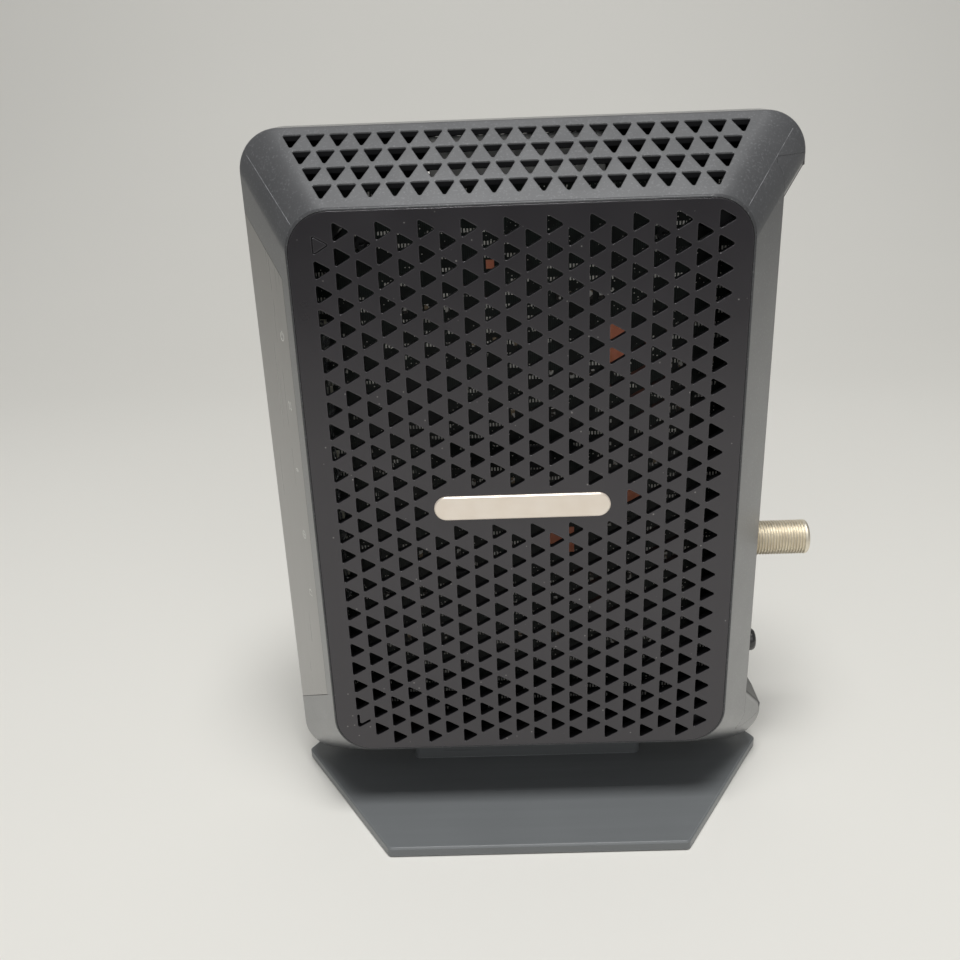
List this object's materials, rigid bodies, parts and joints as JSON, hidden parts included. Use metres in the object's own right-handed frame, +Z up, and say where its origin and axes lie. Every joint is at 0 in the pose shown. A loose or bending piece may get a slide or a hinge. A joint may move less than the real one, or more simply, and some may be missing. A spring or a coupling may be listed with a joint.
{
  "type": "cable modem",
  "caption": "Upright cable modem with bevelled vented housing, perforated side panels, threaded coaxial and network sockets, push power key and flat six-sided stand.",
  "frame": {"origin": "centre of the stand's footprint, on the surface that the rubber feet rest on", "axes": "+Z up, -Y out of the broad face with the badge, -X out of the narrow edge with the light window, +X out of the narrow edge with the sockets"},
  "size_m": [0.1458, 0.0882, 0.1833],
  "materials": {
    "housing_grey": "fine sparkle-textured grey moulded plastic",
    "panel_charcoal": "satin charcoal moulded plastic",
    "badge_cream": "satin cream plastic",
    "window_taupe": "dead-front satin taupe plastic with faint grain",
    "clear_guide": "clear moulded light guide",
    "light_white": "white light package",
    "nickel": "nickel plating on die-cast metal",
    "insulator_white": "white insulator",
    "contact_brass": "gold-coloured contact metal",
    "tin_plate": "tin-plated sheet metal",
    "jack_black": "black socket moulding",
    "key_black": "satin dark plastic key",
    "switch_black": "switch body moulding",
    "board_mask": "near-black solder mask with traces",
    "bare_copper": "bare copper",
    "chip_black": "moulded chip package",
    "ceramic_parts": "small soldered parts with tinned ends",
    "thermal_grey": "soft thermal pad",
    "sink_aluminium": "extruded aluminium",
    "pin_white": "plastic push pin",
    "can_sleeve": "printed can sleeve with metal top",
    "ferrite": "dark ferrite block",
    "stand_slate": "satin slate-grey moulded plastic",
    "foot_rubber": "soft rubber",
    "screw_zinc": "zinc-plated steel",
    "screw_black": "black-finished steel"
  },
  "bodies": {
    "housing": {"near_shell": "housing_grey", "far_shell": "housing_grey", "near_panel": "panel_charcoal", "far_panel": "panel_charcoal", "badge": "badge_cream", "light_window": "window_taupe", "light_guide": "clear_guide", "indicator_lights": "light_white", "socket_plate": "housing_grey", "coax_shell": "nickel", "coax_insulator": "insulator_white", "coax_contact": "contact_brass", "tuner_shield": "tin_plate", "network_jack_shell": "tin_plate", "network_jack_insert": "jack_black", "network_jack_contacts": "contact_brass", "power_inlet": "jack_black", "power_inlet_pin": "tin_plate", "power_switch": "switch_black", "reset_switch": "switch_black", "main_board": "board_mask", "copper_pads": "bare_copper", "near_side_chips": "chip_black", "small_parts": "ceramic_parts", "processor": "chip_black", "thermal_pad": "thermal_grey", "heatsink": "sink_aluminium", "heatsink_pins": "pin_white", "memory_chips": "chip_black", "flash_chip": "chip_black", "network_transformer": "chip_black", "capacitors": "can_sleeve", "inductors": "ferrite", "crystal": "tin_plate", "stand": "stand_slate", "rubber_feet": "foot_rubber", "case_screws": "screw_zinc", "board_screws": "screw_black", "stand_screws": "screw_zinc"},
    "power_key": {"power_button": "key_black"},
    "reset_key": {"reset_plunger": "key_black"}
  },
  "joints": [
    {"name": "power_press", "type": "slide", "parent": "housing", "child": "power_key", "axis": [-1, 0, 0], "range_m": [0, 0.002], "stiffness_N_per_m": 400},
    {"name": "reset_press", "type": "slide", "parent": "housing", "child": "reset_key", "axis": [-1, 0, 0], "range_m": [0, 0.0005], "stiffness_N_per_m": 800}
  ]
}
